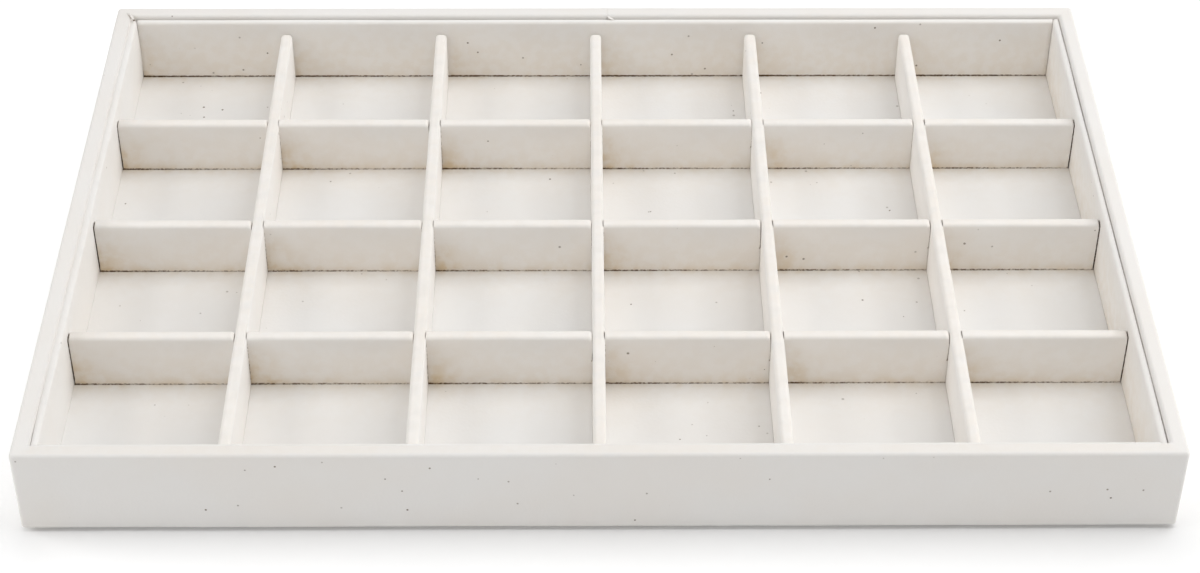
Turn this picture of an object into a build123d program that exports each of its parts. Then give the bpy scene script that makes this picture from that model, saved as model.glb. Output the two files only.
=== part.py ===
import math
import os

from build123d import *

# Stackable jewelry tray of leatherette-wrapped boards: an outer tray, a thin liner that stands inside
# it, a padded floor, and a half-lapped lattice of dividers that lifts out.
# Millimetres. The origin is the middle of the underside, +X to the right, +Y to the back, +Z up.

# Outer tray
tray_width = 350.0
tray_depth = 240.0
wall_height = 30.0
wall_board_thickness = 4.5
base_board_thickness = 2.5
cover_thickness = 0.4
corner_radius = 2.0
rim_radius = 1.2
foot_radius = 1.0
turn_in_depth = 11.0
turn_under_width = 16.0
mitre_slit = 0.15
seam_slit = 0.15
seam_offset = 3.0

# Raised panel under the tray, which drops inside the rim of the tray below
underside_board_thickness = 0.8
stacking_clearance = 0.5
panel_corner_radius = 1.5

# Floor
floor_board_thickness = 1.0
floor_clearance = 0.3

# Liner
liner_board_thickness = 1.0
liner_edge_radius = 0.85
liner_drop = 1.6
liner_groove = 0.4
liner_butt_gap = 0.1

# Divider lattice
columns = 6
rows = 4
divider_board_thickness = 3.2
divider_height = 19.25
divider_edge_radius = 1.3
divider_end_gap = 0.4
divider_rest_gap = 0.15
lap_side_clearance = 0.25
lap_height_clearance = 0.4
lap_mouth_radius = 1.2

# The largest share of a wall's thickness that an edge radius may take
largest_edge_share = 0.48

# How far an edge may lie from a level and still be found there
level_tolerance = 0.01

# Wall and divider thicknesses over their covers
wall_thickness = wall_board_thickness + 2 * cover_thickness
liner_thickness = liner_board_thickness + 2 * cover_thickness
divider_thickness = divider_board_thickness + 2 * cover_thickness

# Levels, from the face that the tray stands on
wall_bottom = underside_board_thickness + cover_thickness
rim_top = wall_bottom + wall_height
board_bottom = wall_bottom + cover_thickness
base_top = board_bottom + base_board_thickness
floor_board_top = base_top + floor_board_thickness
floor_top = floor_board_top + cover_thickness
liner_top = rim_top - liner_drop
divider_bottom = floor_top + divider_rest_gap
divider_top = divider_bottom + divider_height

# Plan sizes, outside in
well_width = tray_width - 2 * wall_thickness
well_depth = tray_depth - 2 * wall_thickness
liner_width = well_width - 2 * liner_groove
liner_depth = well_depth - 2 * liner_groove
room_width = liner_width - 2 * liner_thickness
room_depth = liner_depth - 2 * liner_thickness
column_pitch = (room_width + divider_thickness) / columns
row_pitch = (room_depth + divider_thickness) / rows

# Half laps: each divider is cut to about half its height where it crosses another
lap_width = divider_thickness + 2 * lap_side_clearance
lap_depth = (divider_height + lap_height_clearance) / 2


def centred_box(width, depth, bottom, top, x=0.0, y=0.0):
    box = Box(width, depth, top - bottom)
    return box.moved(Location((x, y, (bottom + top) / 2)))


# Leatherette turns over an edge in an arc. The board beneath has that edge planed flat, just clear of
# the arc's inner side.
def planed(edges, radius):
    return chamfer(edges, radius * (2 - math.sqrt(2)))


def edges_at_height(solid, height):
    return solid.edges().filter_by_position(Axis.Z, height - level_tolerance, height + level_tolerance)


def upright_edges(solid):
    return solid.edges().filter_by(Axis.Z)


def column_positions():
    return [(k - columns / 2) * column_pitch for k in range(1, columns)]


def row_positions():
    return [(rows / 2 - k) * row_pitch for k in range(1, rows)]


# The four walls of the outer tray as one ring, drawn in by an inset all round
def wall_ring(inset, ease):
    bottom = wall_bottom + inset
    top = rim_top - inset
    block = centred_box(tray_width - 2 * inset, tray_depth - 2 * inset, bottom, top)
    block = ease(upright_edges(block), corner_radius - inset)
    block = ease(edges_at_height(block, bottom), foot_radius - inset)
    well = centred_box(well_width + 2 * inset, well_depth + 2 * inset, bottom, top)
    ring = block - well
    return ease(edges_at_height(ring, top), rim_radius - inset)


def wall_boards():
    ring = wall_ring(cover_thickness, planed)
    reach_x = tray_width / 2
    reach_y = tray_depth / 2
    side_depth = well_depth + 2 * cover_thickness
    band = reach_y - side_depth / 2
    middle_y = (reach_y + side_depth / 2) / 2
    front_zone = centred_box(tray_width, band, 0, rim_top, y=-middle_y)
    back_zone = centred_box(tray_width, band, 0, rim_top, y=middle_y)
    left_zone = centred_box(reach_x, side_depth, 0, rim_top, x=-reach_x / 2)
    right_zone = centred_box(reach_x, side_depth, 0, rim_top, x=reach_x / 2)
    return {
        "front_wall_board": ring & front_zone,
        "back_wall_board": ring & back_zone,
        "left_wall_board": ring & left_zone,
        "right_wall_board": ring & right_zone,
    }


# Narrow slits where the turned-under strip is cut on the diagonal at each corner
def mitre_slits():
    slits = []
    length = 2 * turn_under_width
    for side_x in (-1, 1):
        for side_y in (-1, 1):
            slit = Box(length, mitre_slit, 2 * cover_thickness)
            slit = slit.rotate(Axis.Z, 45 * side_x * side_y)
            x = side_x * (tray_width / 2 - wall_thickness)
            y = side_y * (tray_depth / 2 - wall_thickness)
            slits.append(slit.moved(Location((x, y, wall_bottom))))
    return slits


# One strip round the walls: outside, over the rim, down behind the liner and in under the base
def outer_wrap():
    wrap = wall_ring(0.0, fillet) - wall_ring(cover_thickness, planed)
    bare_width = well_width + 2 * cover_thickness
    bare_depth = well_depth + 2 * cover_thickness
    wrap = wrap - centred_box(bare_width, bare_depth, board_bottom, rim_top - turn_in_depth)
    flange = centred_box(bare_width, bare_depth, wall_bottom, board_bottom)
    window_width = tray_width - 2 * turn_under_width
    window_depth = tray_depth - 2 * turn_under_width
    flange = flange - centred_box(window_width, window_depth, wall_bottom, board_bottom)
    wrap = wrap + flange
    for slit in mitre_slits():
        wrap = wrap - slit
    seam_depth = turn_under_width + wall_thickness
    seam = centred_box(seam_slit, seam_depth, 0, rim_top, x=seam_offset, y=tray_depth / 2)
    return wrap - seam


def base_board():
    width = well_width + 2 * cover_thickness
    depth = well_depth + 2 * cover_thickness
    return centred_box(width, depth, board_bottom, base_top)


def underside_panel():
    width = well_width - 2 * stacking_clearance
    depth = well_depth - 2 * stacking_clearance
    cover = centred_box(width, depth, 0, wall_bottom)
    cover = fillet(upright_edges(cover), panel_corner_radius)
    cover = chamfer(edges_at_height(cover, 0), cover_thickness / 2)
    board_width = width - 2 * cover_thickness
    board_depth = depth - 2 * cover_thickness
    board = centred_box(board_width, board_depth, cover_thickness, wall_bottom)
    board = planed(upright_edges(board), panel_corner_radius - cover_thickness)
    return {"underside_board": board, "underside_cover": cover - board}


def floor_pad():
    width = well_width + 2 * cover_thickness - 2 * floor_clearance
    depth = well_depth + 2 * cover_thickness - 2 * floor_clearance
    board = centred_box(width, depth, base_top, floor_board_top)
    cover = centred_box(width, depth, floor_board_top, floor_top)
    return {"floor_board": board, "floor_cover": cover}


# The edges that a hand meets: the long top edges, and on a free end all the others above the floor
def eased_edges(board, top, ends):
    top_edges = edges_at_height(board, top)
    if ends == "free":
        return top_edges + upright_edges(board)
    return top_edges.filter_by(Axis.X)


# A board alone, and the same board with its leatherette folded over the top. Both run along X and
# stand on a level. The ends are free and wrapped, butted and wrapped, or cut through with the board.
def bare_and_wrapped(length, thickness, bottom, top, edge_radius, ends):
    radius = min(edge_radius, largest_edge_share * thickness)
    wrapped = centred_box(length, thickness, bottom, top)
    wrapped = fillet(eased_edges(wrapped, top, ends), radius)
    end_covers = 0 if ends == "cut" else 2
    bare_length = length - end_covers * cover_thickness
    bare_thickness = thickness - 2 * cover_thickness
    bare_top = top - cover_thickness
    bare = centred_box(bare_length, bare_thickness, bottom, bare_top)
    bare = planed(eased_edges(bare, bare_top, ends), radius - cover_thickness)
    return bare, wrapped


def liner_parts():
    end_length = room_width - 2 * liner_butt_gap
    side_x = (liner_width - liner_thickness) / 2
    end_y = (liner_depth - liner_thickness) / 2
    places = {
        "front": (end_length, Location((0, -end_y, 0))),
        "back": (end_length, Location((0, end_y, 0))),
        "left": (liner_depth, Location((-side_x, 0, 0), (0, 0, 90))),
        "right": (liner_depth, Location((side_x, 0, 0), (0, 0, 90))),
    }
    parts = {}
    for name, (length, place) in places.items():
        bare, wrapped = bare_and_wrapped(
            length, liner_thickness, floor_top, liner_top, liner_edge_radius, "butted"
        )
        parts[name + "_liner_board"] = bare.moved(place)
        parts[name + "_liner_cover"] = (wrapped - bare).moved(place)
    return parts


def divider_blank(room, ends):
    length = room - 2 * divider_end_gap
    return bare_and_wrapped(
        length, divider_thickness, divider_bottom, divider_top, divider_edge_radius, ends
    )


def lap_cut(along, bottom, top):
    return centred_box(lap_width, 2 * divider_thickness, bottom, top, x=along)


# What the leatherette's roll over the mouth of a lap takes off one side of it
def mouth_rolls(along):
    rolls = []
    level = divider_top - lap_mouth_radius
    for side in (-1, 1):
        wall = along + side * lap_width / 2
        middle = wall + side * lap_mouth_radius / 2
        square = centred_box(lap_mouth_radius, 2 * divider_thickness, level, divider_top, x=middle)
        rod = Cylinder(lap_mouth_radius, 3 * divider_thickness, rotation=(90, 0, 0))
        rod = rod.moved(Location((wall + side * lap_mouth_radius, 0, level)))
        rolls.append(square - rod)
    return rolls


def mouth_edges(bare):
    bare_top = divider_top - cover_thickness
    return edges_at_height(bare, bare_top).filter_by(Axis.Y)


# Column dividers run front to back and are notched from below, so they pass over the rows unbroken
def column_dividers():
    bare, wrapped = divider_blank(room_depth, "free")
    for y in row_positions():
        lap = lap_cut(y, divider_bottom, divider_bottom + lap_depth)
        bare = bare - lap
        wrapped = wrapped - lap
    cover = wrapped - bare
    parts = {}
    for k, x in enumerate(column_positions(), start=1):
        place = Location((x, 0, 0), (0, 0, 90))
        parts[f"column_divider_{k}_board"] = bare.moved(place)
        parts[f"column_divider_{k}_cover"] = cover.moved(place)
    return parts


# Row dividers run left to right and are notched from above, so they carry the lattice out. Their ends
# are cut off square after wrapping.
def row_dividers():
    bare, wrapped = divider_blank(room_width, "cut")
    for x in column_positions():
        lap = lap_cut(x, divider_top - lap_depth, divider_top)
        bare = bare - lap
        wrapped = wrapped - lap
        for roll in mouth_rolls(x):
            wrapped = wrapped - roll
    half_length = room_width / 2 - divider_end_gap
    mouths = [e for e in mouth_edges(bare) if abs(e.center().X) < half_length - level_tolerance]
    bare = chamfer(mouths, lap_mouth_radius - cover_thickness)
    cover = wrapped - bare
    parts = {}
    for k, y in enumerate(row_positions(), start=1):
        place = Location((0, y, 0))
        parts[f"row_divider_{k}_board"] = bare.moved(place)
        parts[f"row_divider_{k}_cover"] = cover.moved(place)
    return parts


def build_tray():
    parts = {"outer_wrap": outer_wrap(), "base_board": base_board()}
    parts.update(wall_boards())
    parts.update(underside_panel())
    parts.update(floor_pad())
    parts.update(liner_parts())
    parts.update(column_dividers())
    parts.update(row_dividers())
    return parts


os.makedirs("parts", exist_ok=True)
for node, shape in build_tray().items():
    export_step(shape, f"parts/{node}.step")
    print(node, round(shape.volume, 1))
print("compartment", round(column_pitch - divider_thickness, 2), round(row_pitch - divider_thickness, 2))
print("lift out travel over", round(rim_top - divider_bottom, 2))
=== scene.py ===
# Stackable jewelry tray: boards wrapped in off-white leatherette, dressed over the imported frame.
# Lengths are in metres, written as a number of millimetres times mm. +X is right, +Y back, +Z up.
import bmesh
import bpy
import math
from mathutils import Euler, Matrix, Vector, noise


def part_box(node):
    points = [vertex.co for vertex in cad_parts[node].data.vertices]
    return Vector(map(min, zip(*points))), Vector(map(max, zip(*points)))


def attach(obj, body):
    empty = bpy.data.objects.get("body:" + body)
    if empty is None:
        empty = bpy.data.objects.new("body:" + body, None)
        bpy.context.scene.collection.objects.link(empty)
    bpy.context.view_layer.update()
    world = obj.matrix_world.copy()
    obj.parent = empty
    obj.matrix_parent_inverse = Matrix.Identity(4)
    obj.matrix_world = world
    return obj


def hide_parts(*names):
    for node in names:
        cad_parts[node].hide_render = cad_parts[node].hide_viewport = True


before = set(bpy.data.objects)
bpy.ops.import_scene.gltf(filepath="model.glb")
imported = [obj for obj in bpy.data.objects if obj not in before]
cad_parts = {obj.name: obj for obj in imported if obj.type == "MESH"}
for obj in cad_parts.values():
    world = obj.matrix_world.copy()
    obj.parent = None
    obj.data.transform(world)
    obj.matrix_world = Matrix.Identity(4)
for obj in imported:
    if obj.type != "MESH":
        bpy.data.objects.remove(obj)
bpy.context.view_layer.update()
mm = 0.001
print("frame loaded,", len(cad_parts), "nodes")


def addObject(name, data):
    made = bpy.data.objects.new(name, data)
    bpy.context.scene.collection.objects.link(made)
    return made


# View, floor and light

view = {
    "place": Vector((-6.156, -679.954, 556.104)) * mm,
    "tilt": Euler([math.radians(a) for a in (50.573, -0.209, -0.423)], "XYZ"),
    "lens": 77.72,  # millimetres on a 36 mm wide sensor
    "sensor": 36.0,
    "sees": (0.01, 50.0),  # nearest and farthest, in metres
}


def addCamera():
    data = bpy.data.cameras.new("viewOfTheTray")
    data.sensor_fit = "HORIZONTAL"
    data.sensor_width = view["sensor"]
    data.lens = view["lens"]
    data.clip_start, data.clip_end = view["sees"]
    data.dof.use_dof = False
    camera = addObject("viewOfTheTray", data)
    camera.location = view["place"]
    camera.rotation_euler = view["tilt"]
    bpy.context.scene.camera = camera


studio = {
    "skyStrength": 0.19,
    "skyColour": (1.0, 1.0, 1.0),
    "floorColour": (0.985, 0.985, 0.985),
    "floorRoughness": 0.9,
    "floorSpecular": 0.1,
    "glowColour": (1.0, 1.0, 1.0),
    "floorGlow": 0.09,  # lightens the line under the tray a little
    "floorReach": 3.0,  # metres from the middle to each side
    "floorHeight": -0.00005,  # a hair under the tray, so that the two faces do not fall together
    "lamps": {  # name: place, size, and power in watts for the tray and for the floor, each aimed at the tray
        "rightPanel": ((1.5, 0.0, 0.7), 1.2, 10.3, 0.0),
        "highRightPanel": ((0.9, 0.1, 1.4), 1.2, 10.8, 7.6),
        "rightBackPanel": ((1.1, 0.9, 0.9), 1.2, 2.9, 1.6),
        "backPanel": ((0.0, 1.5, 0.9), 1.2, 1.6, 5.0),
        "overheadPanel": ((0.0, 0.1, 1.8), 1.6, 4.9, 12.6),
        "leftPanel": ((-1.5, 0.0, 0.9), 1.2, 11.4, 13.0),
        "frontLeftPanel": ((-1.1, -1.0, 0.9), 1.2, 4.9, 0.0),
        "frontPanel": ((0.0, -1.5, 1.0), 1.2, 2.7, 0.0),
    },
}


def addSky():
    world = bpy.data.worlds.new("studioWalls")
    world.use_nodes = True
    sky = world.node_tree.nodes["Background"]
    sky.inputs["Color"].default_value = (*studio["skyColour"], 1.0)
    sky.inputs["Strength"].default_value = studio["skyStrength"]
    bpy.context.scene.world = world


# Each panel lights the tray and the floor with a power of its own
litBy = {"Tray": bpy.data.collections.new("litAsTray"), "Floor": bpy.data.collections.new("litAsFloor")}


def addLamps():
    for name, (place, size, *powers) in studio["lamps"].items():
        for target, power in zip(litBy, powers):
            if power == 0.0:
                continue
            data = bpy.data.lights.new(name + "On" + target, "AREA")
            data.shape = "SQUARE"
            data.size = size
            data.energy = power
            lamp = addObject(name + "On" + target, data)
            lamp.location = place
            lamp.rotation_euler = (-Vector(place)).to_track_quat("-Z", "Y").to_euler()
            lamp.light_linking.receiver_collection = litBy[target]


# Node helpers

def addNode(tree, kind, **settings):
    node = tree.nodes.new(kind)
    for name, value in settings.items():
        setattr(node, name, value)
    return node


# Joins an output to an input, or sets the input to a number or a colour
def join(tree, source, target):
    if isinstance(source, (int, float)):
        target.default_value = source
    elif isinstance(source, tuple):
        target.default_value = (*source, 1.0)
    else:
        tree.links.new(source, target)


def fill(tree, inputs, values):
    for name, value in values.items():
        join(tree, value, inputs[name])


def calculate(tree, operation, *values):
    node = addNode(tree, "ShaderNodeMath", operation=operation)
    for socket, value in zip(node.inputs, values):
        join(tree, value, socket)
    return node.outputs[0]


def multiply(tree, first, second):
    return calculate(tree, "MULTIPLY", first, second)


def remap(tree, value, fromLow, fromHigh, toLow=0.0, toHigh=1.0):
    node = addNode(tree, "ShaderNodeMapRange", interpolation_type="SMOOTHSTEP")
    numbers = {"From Min": fromLow, "From Max": fromHigh, "To Min": toLow, "To Max": toHigh}
    fill(tree, node.inputs, {"Value": value, **numbers})
    return node.outputs["Result"]


def blendColour(tree, factor, first, second):
    node = addNode(tree, "ShaderNodeMix", data_type="RGBA", blend_type="MIX")
    for index, value in ((0, factor), (6, first), (7, second)):
        join(tree, value, node.inputs[index])
    return node.outputs[2]


def newGroup(name, inputs, outputs):
    group = bpy.data.node_groups.new(name, "ShaderNodeTree")
    for label, value in inputs.items():
        socket = group.interface.new_socket(name=label, in_out="INPUT", socket_type="NodeSocketFloat")
        socket.default_value = value
    for label in outputs:
        group.interface.new_socket(name=label, in_out="OUTPUT", socket_type="NodeSocketFloat")
    return group, group.nodes.new("NodeGroupInput").outputs, group.nodes.new("NodeGroupOutput").inputs


def placeGroup(tree, group, **values):
    node = addNode(tree, "ShaderNodeGroup", node_tree=group)
    fill(tree, node.inputs, values)
    return node.outputs


def scaledPlace(tree, scale):
    place = addNode(tree, "ShaderNodeTexCoord")
    node = addNode(tree, "ShaderNodeVectorMath", operation="SCALE")
    join(tree, place.outputs["Object"], node.inputs[0])
    join(tree, scale, node.inputs["Scale"])
    return node.outputs[0]


def perMetre(tree, length):
    return calculate(tree, "DIVIDE", 1.0, length)


def addNoise(tree, place, scale, detail, **more):
    node = addNode(tree, "ShaderNodeTexNoise")
    fill(tree, node.inputs, {"Vector": place, "Scale": scale, "Detail": detail, **more})
    return node.outputs


# Pushes a place about by a noise, so that what is laid out on it is not regular
def pushAbout(tree, place, by, amount):
    node = addNode(tree, "ShaderNodeVectorMath", operation="MULTIPLY_ADD")
    join(tree, by["Color"], node.inputs[0])
    node.inputs[1].default_value = (amount,) * 3
    join(tree, place, node.inputs[2])
    return node.outputs[0]


def addCells(tree, place, feature, **more):
    node = addNode(tree, "ShaderNodeTexVoronoi", feature=feature)
    fill(tree, node.inputs, {"Vector": place, "Scale": 1.0, **more})
    return node.outputs


def addBump(tree, shader, height, depth):
    bump = addNode(tree, "ShaderNodeBump")
    fill(tree, bump.inputs, {"Strength": 1.0, "Distance": depth, "Height": height})
    join(tree, bump.outputs[0], shader["Normal"])


def makePebbleGrain():
    # The shallow pressed grain of leatherette: soft cells with finer pores between them
    tree, given, out = newGroup("pebbleGrain", {"Pitch": 0.001, "Pores": 0.4}, ["Height"])
    place = scaledPlace(tree, perMetre(tree, given["Pitch"]))
    bend = addNoise(tree, place, scale=1.3, detail=2.0)
    cells = addCells(tree, pushAbout(tree, place, bend, 0.7), "SMOOTH_F1", Smoothness=0.6)
    pores = addNoise(tree, place, scale=4.0, detail=3.0)
    dome = calculate(tree, "SUBTRACT", 1.0, cells["Distance"])
    fine = multiply(tree, pores["Fac"], given["Pores"])
    join(tree, calculate(tree, "ADD", dome, fine), out["Height"])
    return tree


def makeSpecks():
    # Sparse dark specks: a few cells of a coarse lattice of points hold one, each of its own size
    tree, given, out = newGroup("sparseSpecks", {"Spacing": 0.012, "Size": 0.0004, "Share": 0.5}, ["Mask"])
    rate = perMetre(tree, given["Spacing"])
    place = scaledPlace(tree, rate)
    clusters = addNoise(tree, place, scale=0.16, detail=2.0)
    ragged = addNoise(tree, place, scale=26.0, detail=1.0)
    cells = addCells(tree, pushAbout(tree, place, ragged, 0.035), "F1")
    lot = addNode(tree, "ShaderNodeSeparateColor")
    join(tree, cells["Color"], lot.inputs[0])
    largest = multiply(tree, given["Size"], rate)
    size = multiply(tree, largest, remap(tree, lot.outputs[1], 0.0, 1.0, 0.35, 1.0))
    away = calculate(tree, "DIVIDE", cells["Distance"], calculate(tree, "ADD", size, 0.0005))
    spot = remap(tree, away, 1.0, 0.55)
    crowds = remap(tree, clusters["Fac"], 0.42, 0.66, 0.12, 1.0)
    chosen = calculate(tree, "LESS_THAN", lot.outputs[0], multiply(tree, crowds, given["Share"]))
    strength = remap(tree, lot.outputs[2], 0.0, 1.0, 0.45, 1.0)
    join(tree, multiply(tree, multiply(tree, spot, strength), chosen), out["Mask"])
    return tree


def makeMottle():
    # Broad, faint clouds of colour and gloss
    tree, given, out = newGroup("mottledHide", {"Breadth": 0.03}, ["Broad", "Fine"])
    place = scaledPlace(tree, perMetre(tree, given["Breadth"]))
    broad = addNoise(tree, place, scale=1.0, detail=3.0, Roughness=0.55)
    fine = addNoise(tree, place, scale=9.0, detail=4.0)
    join(tree, remap(tree, broad["Fac"], 0.3, 0.7), out["Broad"])
    join(tree, remap(tree, fine["Fac"], 0.3, 0.7), out["Fine"])
    return tree


def makeRubbedEdges():
    # Wear along the turned edges, from how much each point of the skin belongs to one
    tree, given, out = newGroup("rubbedEdges", {"Edge": 0.0, "Breadth": 0.006}, ["Mask"])
    place = scaledPlace(tree, perMetre(tree, given["Breadth"]))
    patches = addNoise(tree, place, scale=1.0, detail=4.0)
    worn = remap(tree, patches["Fac"], 0.42, 0.68)
    join(tree, multiply(tree, worn, given["Edge"]), out["Mask"])
    return tree


def makeFibres():
    # Pressed wood fibre: short flecks, clumps and a rough cut surface
    tree, given, out = newGroup("pressedFibre", {"Fleck": 0.0012}, ["Flecks", "Clumps", "Height"])
    place = scaledPlace(tree, perMetre(tree, given["Fleck"]))
    stretch = addNode(tree, "ShaderNodeMapping")
    stretch.inputs["Scale"].default_value = (0.35, 0.35, 1.6)
    join(tree, place, stretch.inputs["Vector"])
    flecks = addNoise(tree, stretch.outputs[0], scale=1.6, detail=5.0, Roughness=0.7)
    clumps = addNoise(tree, place, scale=0.22, detail=2.0)
    join(tree, remap(tree, flecks["Fac"], 0.35, 0.65), out["Flecks"])
    join(tree, remap(tree, clumps["Fac"], 0.3, 0.7), out["Clumps"])
    join(tree, flecks["Fac"], out["Height"])
    return tree


def newMaterial(name):
    material = bpy.data.materials.new(name)
    material.use_nodes = True
    tree = material.node_tree
    return material, tree, tree.nodes["Principled BSDF"].inputs


# topSpecks: the share of the specks that stays on a face that looks up, where it gets wiped
leatherettes = {
    "outerLeatherette": {
        "colour": (0.812, 0.793, 0.768), "pitch": 0.9 * mm, "depth": 0.022 * mm,
        "speckSpacing": 4.6 * mm, "speckSize": 0.42 * mm, "topSpecks": 0.25,
    },
    "linerLeatherette": {
        "colour": (0.852, 0.835, 0.812), "pitch": 0.9 * mm, "depth": 0.018 * mm,
        "speckSpacing": 5.5 * mm, "speckSize": 0.72 * mm, "topSpecks": 0.0,
    },
    "dividerLeatherette": {
        "colour": (0.862, 0.84, 0.812), "pitch": 0.9 * mm, "depth": 0.018 * mm,
        "speckSpacing": 6.6 * mm, "speckSize": 0.62 * mm, "topSpecks": 0.0,
    },
    "floorLeatherette": {
        "colour": (0.85, 0.84, 0.825), "pitch": 1.1 * mm, "depth": 0.024 * mm,
        "speckSpacing": 5.5 * mm, "speckSize": 0.60 * mm, "topSpecks": 1.0,
    },
    "undersideLeatherette": {
        "colour": (0.80, 0.785, 0.75), "pitch": 1.1 * mm, "depth": 0.03 * mm,
        "speckSpacing": 5.5 * mm, "speckSize": 0.60 * mm, "topSpecks": 1.0,
    },
}
leatheretteFinish = {
    "pores": 0.35,
    "cloudBreadth": 34.0 * mm,
    "cloudStrength": 0.35,
    "warmTint": (0.985, 0.945, 0.90),  # of the clouds
    # colour of the stain mark, which holds real stains and painted warm shade
    "stainTint": (0.80, 0.66, 0.47),
    "stainPatches": 0.55,  # what is left of the stain and painted warm shade where they are thinnest
    "speckColour": (0.20, 0.155, 0.115),
    "speckShare": 0.85,
    "looksUp": (0.45, 0.8),  # upward part of the normal where the wiping begins and is complete
    # colour of the grime mark, which holds grime, dark joints and painted shade in creases, gaps and at feet
    "grimeColour": (0.15, 0.085, 0.035),
    "grimeBreadth": 8.0 * mm,
    "grimePatches": (0.65, 1.2),
    "grimeShows": (0.25, 0.85),  # grime and painted shade: where it just shows, and where it covers
    "wornColour": (0.78, 0.77, 0.755),
    "wornStrength": 0.5,
    "roughness": (0.46, 0.60),
    "specular": 0.22,
    "sheen": 0.04,
    "sheenRoughness": 0.5,
}


def tinted(colour, tint):
    return tuple(a * b for a, b in zip(colour, tint))


def makeLeatherette(name, look, groups):
    finish = leatheretteFinish
    material, tree, shader = newMaterial(name)
    grain = placeGroup(tree, groups["grain"], Pitch=look["pitch"], Pores=finish["pores"])
    mottle = placeGroup(tree, groups["mottle"], Breadth=finish["cloudBreadth"])
    specks = placeGroup(
        tree, groups["specks"], Spacing=look["speckSpacing"], Size=look["speckSize"], Share=finish["speckShare"]
    )
    facing = addNode(tree, "ShaderNodeSeparateXYZ")
    join(tree, addNode(tree, "ShaderNodeNewGeometry").outputs["Normal"], facing.inputs[0])
    share = remap(tree, facing.outputs["Z"], *finish["looksUp"], 1.0, look["topSpecks"])
    unwiped = multiply(tree, specks["Mask"], share)
    turned, stained, grimeAndShadeMark = [
        addNode(tree, "ShaderNodeAttribute", attribute_name=name).outputs["Fac"]
        for name in ("turnedEdge", "stain", "grime")
    ]
    rubbed = placeGroup(tree, groups["rubbed"], Edge=turned)
    clouds = multiply(tree, mottle["Broad"], finish["cloudStrength"])
    colour = blendColour(tree, clouds, look["colour"], tinted(look["colour"], finish["warmTint"]))
    worn = multiply(tree, rubbed["Mask"], finish["wornStrength"])
    colour = blendColour(tree, worn, colour, finish["wornColour"])
    # The stain mark holds real stains and painted warm shade, tinted alike
    patches = remap(tree, mottle["Fine"], 0.0, 1.0, finish["stainPatches"], 1.0)
    patchy = multiply(tree, stained, patches)
    colour = blendColour(tree, patchy, colour, tinted(look["colour"], finish["stainTint"]))
    # Grime and painted shade in creases, gaps and at feet, laid on in patches
    darkeningPatches = placeGroup(tree, groups["mottle"], Breadth=finish["grimeBreadth"])
    darkeningPatchiness = remap(tree, darkeningPatches["Fine"], 0.0, 1.0, *finish["grimePatches"])
    grime = multiply(tree, grimeAndShadeMark, darkeningPatchiness)
    colour = blendColour(tree, remap(tree, grime, *finish["grimeShows"]), colour, finish["grimeColour"])
    colour = blendColour(tree, unwiped, colour, finish["speckColour"])
    fill(tree, shader, {
        "Base Color": colour,
        "Roughness": remap(tree, mottle["Fine"], 0.0, 1.0, *finish["roughness"]),
        "Specular IOR Level": finish["specular"],
        "Sheen Weight": finish["sheen"],
        "Sheen Roughness": finish["sheenRoughness"],
    })
    addBump(tree, shader, grain["Height"], look["depth"])
    return material


boards = {
    "wallFibreboard": {"colour": (0.36, 0.25, 0.155), "dark": (0.16, 0.10, 0.055), "fleck": 1.0 * mm},
    "dividerFibreboard": {"colour": (0.30, 0.20, 0.12), "dark": (0.12, 0.075, 0.04), "fleck": 0.8 * mm},
    "greyboard": {"colour": (0.40, 0.36, 0.30), "dark": (0.20, 0.17, 0.14), "fleck": 0.9 * mm},
    "leatheretteBacking": {"colour": (0.66, 0.58, 0.46), "dark": (0.42, 0.34, 0.24), "fleck": 0.4 * mm},
}
boardFinish = {
    "clumpShade": 0.8,
    "clumpStrength": 0.4,
    "roughness": (0.80, 0.95),
    "depth": 0.08 * mm,
    "specular": 0.15,
}


def makeBoard(name, look, groups):
    finish = boardFinish
    material, tree, shader = newMaterial(name)
    fibre = placeGroup(tree, groups["fibre"], Fleck=look["fleck"])
    colour = blendColour(tree, fibre["Flecks"], look["dark"], look["colour"])
    darker = tuple(finish["clumpShade"] * c for c in look["colour"])
    clumps = multiply(tree, fibre["Clumps"], finish["clumpStrength"])
    fill(tree, shader, {
        "Base Color": blendColour(tree, clumps, colour, darker),
        "Roughness": remap(tree, fibre["Flecks"], 0.0, 1.0, *finish["roughness"]),
        "Specular IOR Level": finish["specular"],
    })
    addBump(tree, shader, fibre["Height"], finish["depth"])
    return material


def makeFloorMaterial():
    material, tree, shader = newMaterial("paleFloor")
    fill(tree, shader, {
        "Base Color": studio["floorColour"],
        "Emission Color": studio["glowColour"],
        "Emission Strength": studio["floorGlow"],
        "Roughness": studio["floorRoughness"],
        "Specular IOR Level": studio["floorSpecular"],
    })
    return material


def makeMaterials():
    groups = {
        "grain": makePebbleGrain(),
        "specks": makeSpecks(),
        "mottle": makeMottle(),
        "rubbed": makeRubbedEdges(),
        "fibre": makeFibres(),
    }
    made = {name: makeLeatherette(name, look, groups) for name, look in leatherettes.items()}
    for name, look in boards.items():
        made[name] = makeBoard(name, look, groups)
    made["paleFloor"] = makeFloorMaterial()
    return made


addCamera()
addSky()
addLamps()
materials = makeMaterials()
print("camera, light and", len(materials), "materials ready")


# Sheets of leatherette. A sheet is drawn cell by cell on the sharp form of its board, and then each of
# its corners is bent over the edges. A corner carries marks for the finish: how much it belongs to a
# turned edge, how much stain and painted warm shade it has, and how much grime, glue and painted
# shade in creases, gaps and feet shows there. A pitch is the size of a cell, and a seed picks one of
# the patterns of unevenness.

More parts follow.
